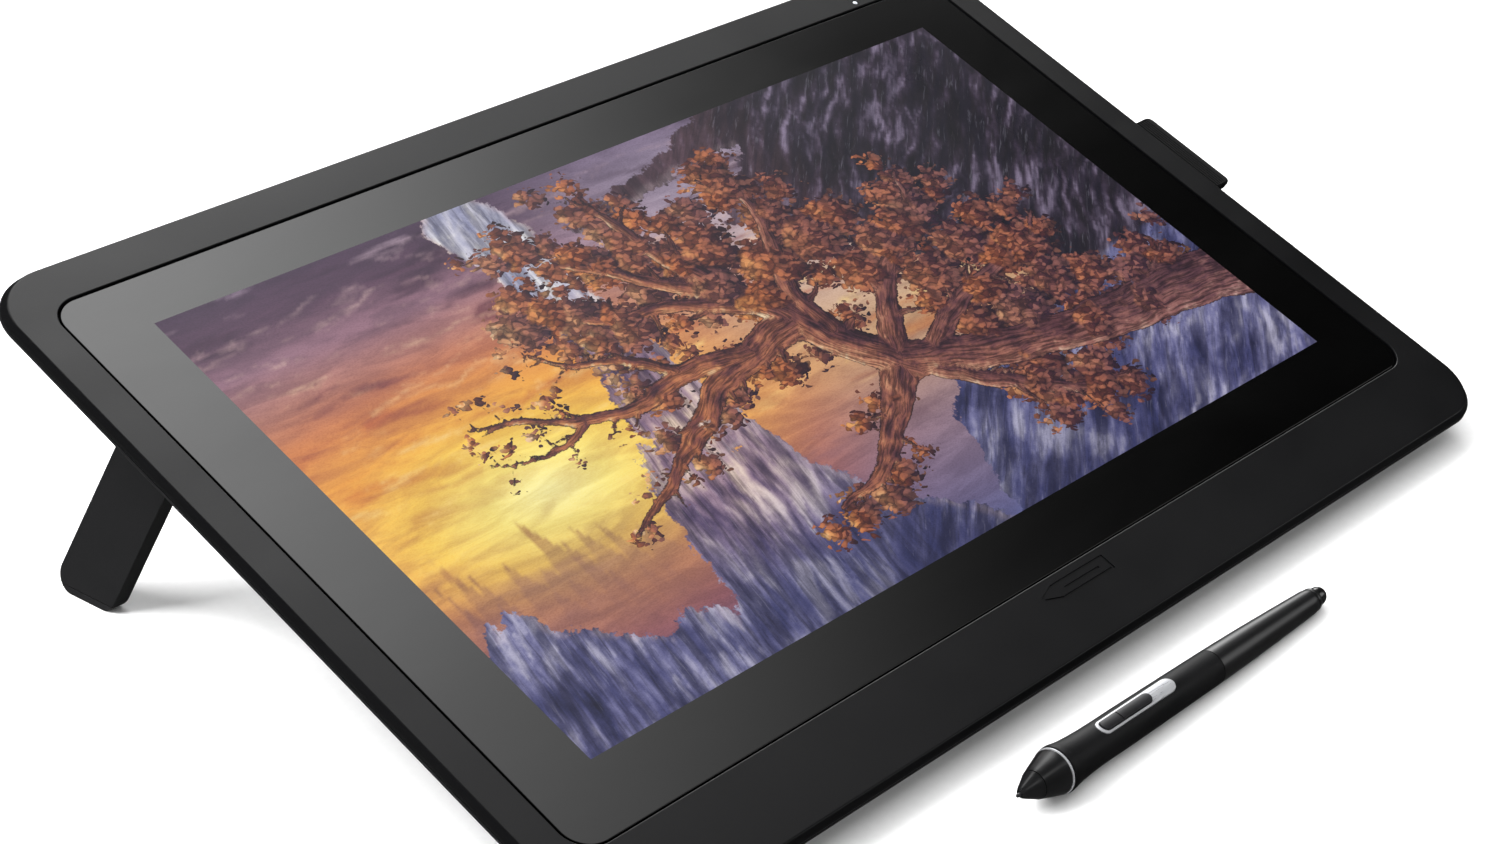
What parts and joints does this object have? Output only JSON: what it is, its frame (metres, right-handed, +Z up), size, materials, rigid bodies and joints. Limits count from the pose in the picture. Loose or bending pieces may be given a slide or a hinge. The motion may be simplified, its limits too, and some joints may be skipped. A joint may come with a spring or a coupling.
{
  "type": "pen drawing tablet",
  "caption": "Pen display tablet tilted on fold-out rear legs, with an etched glass screen in a matte black frame, a side pen loop, and a battery-free pen with a rocker switch.",
  "frame": {"origin": "centre of the flat contact face of the front rubber foot, on the table", "axes": "+X right along the long side, +Y away from the user, +Z up; the screen slopes up towards +Y at 19 degrees"},
  "size_m": [0.4334, 0.3024, 0.1057],
  "materials": {
    "frame": "fine matte black moulding",
    "cover": "matte black textured moulding",
    "glass": "etched anti-glare glass",
    "screen": "lit display behind the glass",
    "light_guide": "clear light guide with white backing",
    "board": "green circuit board",
    "tray": "pressed sheet",
    "steel": "bright steel",
    "rubber": "black rubber",
    "webbing": "ribbed woven elastic",
    "lens": "clear light pipe",
    "nib": "dark smooth plastic",
    "grip": "soft matte rubber",
    "gloss": "satin to gloss black plastic",
    "silver": "silver plated",
    "copper": "enamelled copper wire"
  },
  "bodies": {
    "tablet": {"front_bezel": "frame", "rear_cover": "cover", "cover_glass": "glass", "lcd_panel": "screen", "backlight_plate": "light_guide", "digitizer_board": "board", "chassis_tray": "tray", "main_board": "board", "cable_port": "steel", "status_lens": "lens", "front_foot": "rubber", "rear_pad_left": "rubber", "rear_pad_right": "rubber", "left_hinge_pin": "steel", "right_hinge_pin": "steel", "left_detent_spring": "steel", "right_detent_spring": "steel", "nib_holder": "rubber", "spare_nib_1": "nib", "spare_nib_2": "nib", "spare_nib_3": "nib", "nib_ring": "steel", "pen_loop": "webbing", "loop_clamp": "steel", "case_screw_1": "steel", "case_screw_2": "steel", "case_screw_3": "steel", "case_screw_4": "steel", "case_screw_5": "steel", "case_screw_6": "steel"},
    "left_leg": {"left_leg": "cover", "left_leg_pad": "rubber"},
    "right_leg": {"right_leg": "cover", "right_leg_pad": "rubber"},
    "power_button": {"power_button": "gloss"},
    "pen": {"pen_nose_tip": "gloss", "pen_nose_cone": "gloss", "pen_ring": "silver", "pen_grip": "grip", "pen_rear_barrel": "gloss", "pen_end_collar": "gloss", "pen_switch_bezel": "silver", "pen_rocker_pin": "steel", "pen_coil": "copper", "pen_pressure_sensor": "steel", "pen_board": "board"},
    "pen_nib": {"pen_nib": "nib"},
    "pen_rocker": {"pen_rocker": "gloss"},
    "pen_eraser": {"pen_eraser": "gloss"}
  },
  "joints": [
    {"name": "left_leg_fold", "type": "hinge", "parent": "tablet", "child": "left_leg", "pos_m": [-0.17093, 0.20147, 0.07174], "axis": [0, -0.9455, -0.3256], "range_deg": [0, 108]},
    {"name": "right_leg_fold", "type": "hinge", "parent": "tablet", "child": "right_leg", "pos_m": [0.17093, 0.20147, 0.07174], "axis": [0, 0.9455, 0.3256], "range_deg": [0, 108]},
    {"name": "power_button_press", "type": "slide", "parent": "tablet", "child": "power_button", "axis": [0, -0.9455, -0.3256], "range_m": [0, 0.0005], "stiffness_N_per_m": 600, "springref_m": -0.0006},
    {"name": "pen_lift", "type": "slide", "parent": "tablet", "child": "pen", "axis": [0, 0, 1], "range_m": [0, 0.12]},
    {"name": "pen_nib_press", "type": "slide", "parent": "pen", "child": "pen_nib", "axis": [0.9996, 0.0136, -0.0257], "range_m": [0, 0.0006], "stiffness_N_per_m": 600, "springref_m": -0.0004},
    {"name": "pen_rocker_tilt", "type": "hinge", "parent": "pen", "child": "pen_rocker", "pos_m": [-0.0332, -0.05148, 0.01078], "axis": [-0.008, 0.9781, 0.2078], "range_deg": [-3, 3], "stiffness_Nm_per_rad": 0.05},
    {"name": "pen_eraser_press", "type": "slide", "parent": "pen", "child": "pen_eraser", "axis": [-0.9996, -0.0136, 0.0257], "range_m": [0, 0.0008], "stiffness_N_per_m": 500, "springref_m": -0.0005}
  ]
}
